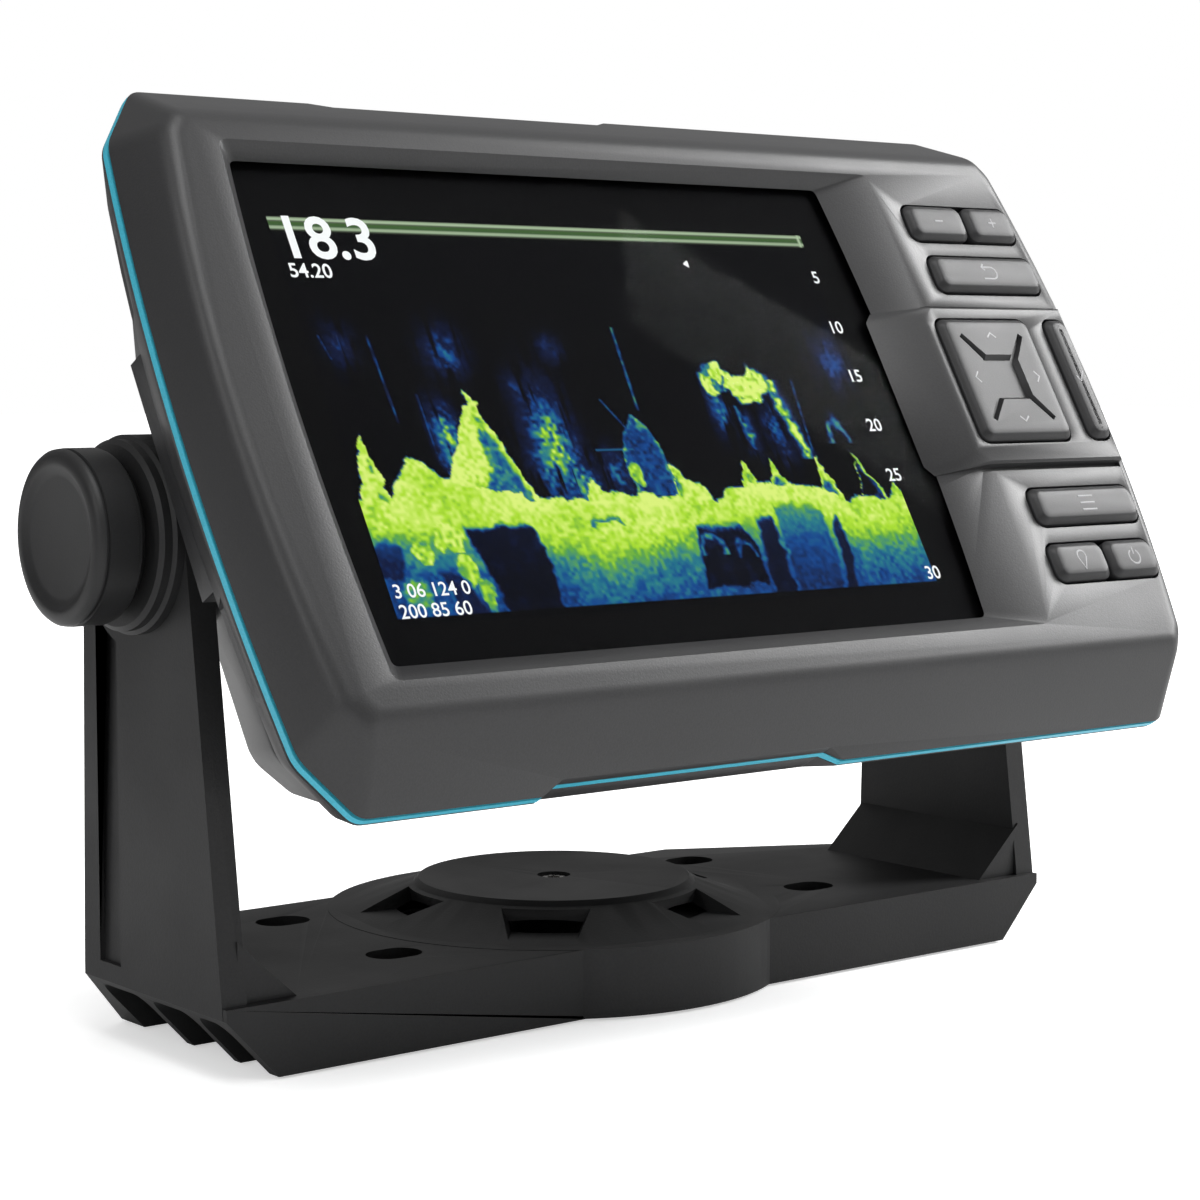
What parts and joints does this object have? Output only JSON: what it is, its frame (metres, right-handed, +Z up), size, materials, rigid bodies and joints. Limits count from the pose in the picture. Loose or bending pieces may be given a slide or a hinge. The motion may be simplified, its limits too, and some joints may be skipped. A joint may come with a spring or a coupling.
{
  "type": "chartplotter display",
  "caption": "Keyed marine chartplotter display tilted in a U-shaped bail mount with clamp knobs, on a swivel base; tilts, swivels, keys press, knobs unscrew.",
  "frame": {"origin": "centre of the swivel base's underside, on the swivel axis", "axes": "+X to the right for a user who faces the screen, -Y out of the screen side towards the user, +Z up"},
  "size_m": [0.1856, 0.0999, 0.1359],
  "materials": {
    "case_plastic": "fine satin texture",
    "mount_plastic": "fine matt texture",
    "knob_plastic": "satin",
    "accent_teal": "satin",
    "key_rubber": "matt",
    "cover_glass": "polished, black border",
    "lcd_screen": "lit display",
    "stainless_steel": "satin",
    "brass": "machined",
    "seal_rubber": "matt",
    "circuit_board": "solder resist",
    "antenna_ceramic": "ceramic",
    "ribbon_film": "film"
  },
  "bodies": {
    "swivel_base": {"swivel_base": "mount_plastic", "swivel_screw": "stainless_steel", "swivel_washer": "stainless_steel"},
    "bracket": {"bail_bracket": "mount_plastic"},
    "display": {"front_bezel": "case_plastic", "accent_band": "accent_teal", "rear_housing": "case_plastic", "housing_seal": "seal_rubber", "display_lens": "cover_glass", "lens_gasket": "seal_rubber", "lcd_panel": "lcd_screen", "lcd_backplate": "stainless_steel", "keypad_mat": "seal_rubber", "key_board": "circuit_board", "main_board": "circuit_board", "board_shield": "stainless_steel", "satellite_antenna": "antenna_ceramic", "lcd_ribbon": "ribbon_film", "key_ribbon": "ribbon_film", "buzzer": "circuit_board", "board_screw_1": "stainless_steel", "board_screw_2": "stainless_steel", "board_screw_3": "stainless_steel", "board_screw_4": "stainless_steel", "connector_shell": "mount_plastic", "connector_insert": "seal_rubber", "connector_gasket": "seal_rubber", "connector_pin_1": "brass", "connector_pin_2": "brass", "connector_pin_3": "brass", "connector_pin_4": "brass", "vent_plug": "seal_rubber", "housing_screw_1": "stainless_steel", "housing_screw_2": "stainless_steel", "housing_screw_3": "stainless_steel", "housing_screw_4": "stainless_steel", "housing_screw_5": "stainless_steel", "housing_screw_6": "stainless_steel", "pivot_insert_left": "brass", "pivot_insert_right": "brass", "friction_disc_left": "seal_rubber", "friction_disc_right": "seal_rubber"},
    "zoom_out_key": {"key_zoom_out": "key_rubber"},
    "zoom_in_key": {"key_zoom_in": "key_rubber"},
    "back_key": {"key_back": "key_rubber"},
    "dpad_key": {"key_dpad": "key_rubber"},
    "select_key": {"key_select": "key_rubber"},
    "menu_key": {"key_menu": "key_rubber"},
    "mark_key": {"key_mark": "key_rubber"},
    "power_key": {"key_power": "key_rubber"},
    "left_washer": {"knob_washer_left": "stainless_steel"},
    "left_knob": {"knob_left": "knob_plastic", "knob_stud_left": "stainless_steel"},
    "right_washer": {"knob_washer_right": "stainless_steel"},
    "right_knob": {"knob_right": "knob_plastic", "knob_stud_right": "stainless_steel"}
  },
  "joints": [
    {"name": "swivel", "type": "hinge", "parent": "swivel_base", "child": "bracket", "pos_m": [0, 0, 0], "axis": [0, 0, 1], "range_deg": [-60, 60]},
    {"name": "tilt", "type": "hinge", "parent": "bracket", "child": "display", "pos_m": [0, -0.0082, 0.0743], "axis": [1, 0, 0], "range_deg": [-35, 24]},
    {"name": "zoom_out_press", "type": "slide", "parent": "display", "child": "zoom_out_key", "axis": [0, 0.8634, -0.5045], "range_m": [0, 0.0008], "stiffness_N_per_m": 800, "springref_m": -0.0003},
    {"name": "zoom_in_press", "type": "slide", "parent": "display", "child": "zoom_in_key", "axis": [0, 0.8634, -0.5045], "range_m": [0, 0.0008], "stiffness_N_per_m": 800, "springref_m": -0.0003},
    {"name": "back_press", "type": "slide", "parent": "display", "child": "back_key", "axis": [0, 0.8634, -0.5045], "range_m": [0, 0.0008], "stiffness_N_per_m": 800, "springref_m": -0.0003},
    {"name": "dpad_press", "type": "slide", "parent": "display", "child": "dpad_key", "axis": [0, 0.8634, -0.5045], "range_m": [0, 0.0008], "stiffness_N_per_m": 800, "springref_m": -0.0003},
    {"name": "select_press", "type": "slide", "parent": "display", "child": "select_key", "axis": [0, 0.8634, -0.5045], "range_m": [0, 0.0008], "stiffness_N_per_m": 800, "springref_m": -0.0003},
    {"name": "menu_press", "type": "slide", "parent": "display", "child": "menu_key", "axis": [0, 0.8634, -0.5045], "range_m": [0, 0.0008], "stiffness_N_per_m": 800, "springref_m": -0.0003},
    {"name": "mark_press", "type": "slide", "parent": "display", "child": "mark_key", "axis": [0, 0.8634, -0.5045], "range_m": [0, 0.0008], "stiffness_N_per_m": 800, "springref_m": -0.0003},
    {"name": "power_press", "type": "slide", "parent": "display", "child": "power_key", "axis": [0, 0.8634, -0.5045], "range_m": [0, 0.0008], "stiffness_N_per_m": 800, "springref_m": -0.0003},
    {"name": "left_washer_out", "type": "slide", "parent": "bracket", "child": "left_washer", "axis": [-1, 0, 0], "range_m": [0, 0.0021]},
    {"name": "left_knob_turn", "type": "hinge", "parent": "left_washer", "child": "left_knob", "pos_m": [0, -0.0082, 0.0743], "axis": [-1, 0, 0], "range_deg": [0, 720]},
    {"name": "right_washer_out", "type": "slide", "parent": "bracket", "child": "right_washer", "axis": [1, 0, 0], "range_m": [0, 0.0021]},
    {"name": "right_knob_turn", "type": "hinge", "parent": "right_washer", "child": "right_knob", "pos_m": [0, -0.0082, 0.0743], "axis": [1, 0, 0], "range_deg": [0, 720]}
  ],
  "couplings": [
    {"joint": "left_washer_out", "follows": "left_knob_turn", "m_per_rad": 0.00015915},
    {"joint": "right_washer_out", "follows": "right_knob_turn", "m_per_rad": 0.00015915}
  ]
}
